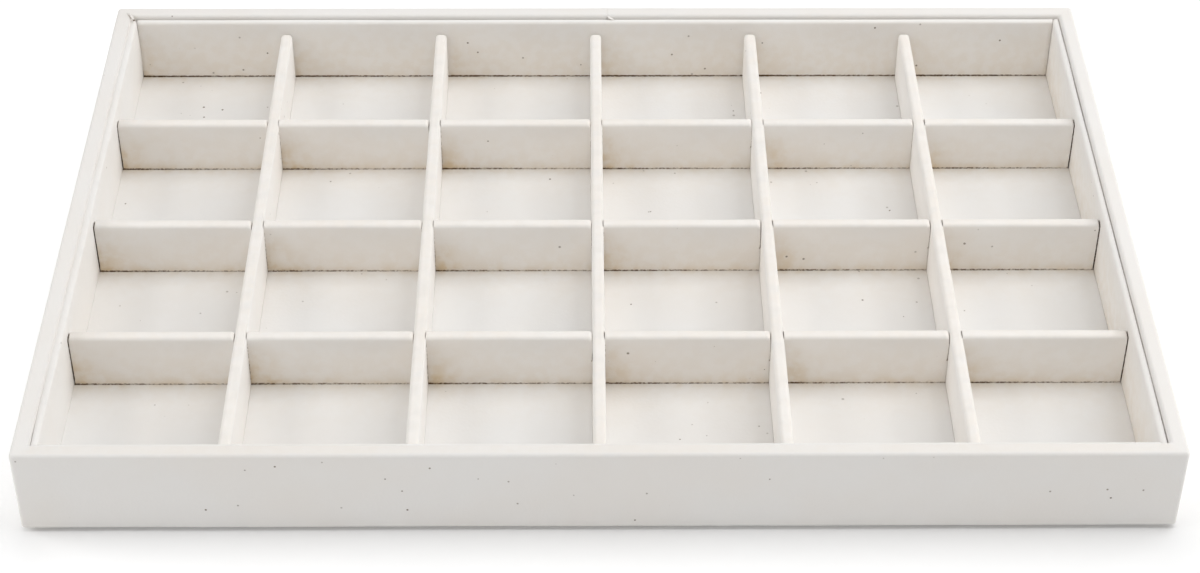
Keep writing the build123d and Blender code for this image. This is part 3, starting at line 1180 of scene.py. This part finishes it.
def outerSkin(seed):
    low, high = [Vector(c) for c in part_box("outer_wrap")]
    section = wrapSection(low, high)
    stations = wrapStations(high)
    sheet = newSheet()
    for step, following in zip(section, section[1:]):
        for here, beside in zip(stations, stations[1:]):
            around = ((here, step), (here, following), (beside, following), (beside, step))
            places = [wrapPlace(*pair, high) for pair in around]
            cell(sheet, places)
            side = "front" if here["way"] == (0, -1) else "top"
            # the front rim's top is painted darker, as shade
            topTint = wrap["topTint"][side] if step[1] > high.z - tiny else 0.0
            mark(sheet, corner(sheet, places[0]), turnedEdge=step[2], stain=topTint)
            if beside is stations[-1] and step[3] == (-1, 0):
                mark(sheet, corner(sheet, places[3]), grime=wrap["seamGrime"])
    for tab in tabs.values():
        addTab(sheet, tab)
    finishSheet(sheet, "outerSkin", "outer_wrap", "tray", "outer", seed)


outerSkin(wrap["seed"])
print("walls wrapped")


# Underside

underside = {"pitch": 3.0 * mm, "seed": 91.0, "corner": 1.5 * mm, "bevel": 0.30 * mm, "soften": 0.12 * mm}


def undersideSkin(seed):
    low, high = [Vector(c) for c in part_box("underside_cover")]
    bevel, soften, radius = underside["bevel"], underside["soften"], underside["corner"]
    stops = [0.0, bevel, radius]
    lines = {2: [low.z, low.z + bevel, high.z]}
    for axis in range(2):
        ends = [low[axis] + d for d in stops] + [high[axis] - d for d in stops]
        lines[axis] = linesThrough(ends, underside["pitch"])
    sheet = newSheet()
    grid(sheet, 2, low.z, -1, lines, everywhere)
    addSides(sheet, low, high, lines)
    for vert, sharp in sheet["sharp"].items():
        place = sharp.copy()
        beyondX = max(abs(sharp.x) - (high.x - radius), 0.0)
        beyondY = max(abs(sharp.y) - (high.y - radius), 0.0)
        if beyondX > 0 and beyondY > 0:
            shrink = max(beyondX, beyondY) / math.hypot(beyondX, beyondY)
            place.x = math.copysign(high.x - radius + beyondX * shrink, sharp.x)
            place.y = math.copysign(high.y - radius + beyondY * shrink, sharp.y)
        atEdge = abs(sharp.x) > high.x - tiny or abs(sharp.y) > high.y - tiny
        if atEdge and sharp.z < low.z + tiny:
            place.z += soften
            place.x *= 1 - soften / high.x
            place.y *= 1 - soften / high.y
            mark(sheet, vert, turnedEdge=1.0)
        vert.co = place
    finishSheet(sheet, "undersideSkin", "underside_cover", "tray", "underside", seed, liveliness=0.0)


undersideSkin(underside["seed"])
print("underside covered")


# Boards keep their shape and get their finish

def finishBoards():
    for name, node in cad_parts.items():
        if not name.endswith("_board"):
            continue
        finish = "greyboard"
        if "divider" in name:
            finish = "dividerFibreboard"
        if "wall" in name or name == "base_board":
            finish = "wallFibreboard"
        for slot in node.material_slots:
            slot.material = materials[finish]


finishBoards()
print("boards finished")


def addFloor():
    reach = studio["floorReach"]
    corners = [(x * reach, y * reach, studio["floorHeight"]) for x, y in ((-1, -1), (1, -1), (1, 1), (-1, 1))]
    mesh = bpy.data.meshes.new("studioFloor")
    mesh.from_pydata(corners, [], [(0, 1, 2, 3)])
    mesh.materials.append(materials["paleFloor"])
    floor = addObject("studioFloor", mesh)
    for target, state in (("Tray", "EXCLUDE"), ("Floor", "INCLUDE")):
        litBy[target].objects.link(floor)
        litBy[target].collection_objects[0].light_linking.link_state = state


addFloor()
bpy.context.scene.view_settings.view_transform = "Standard"
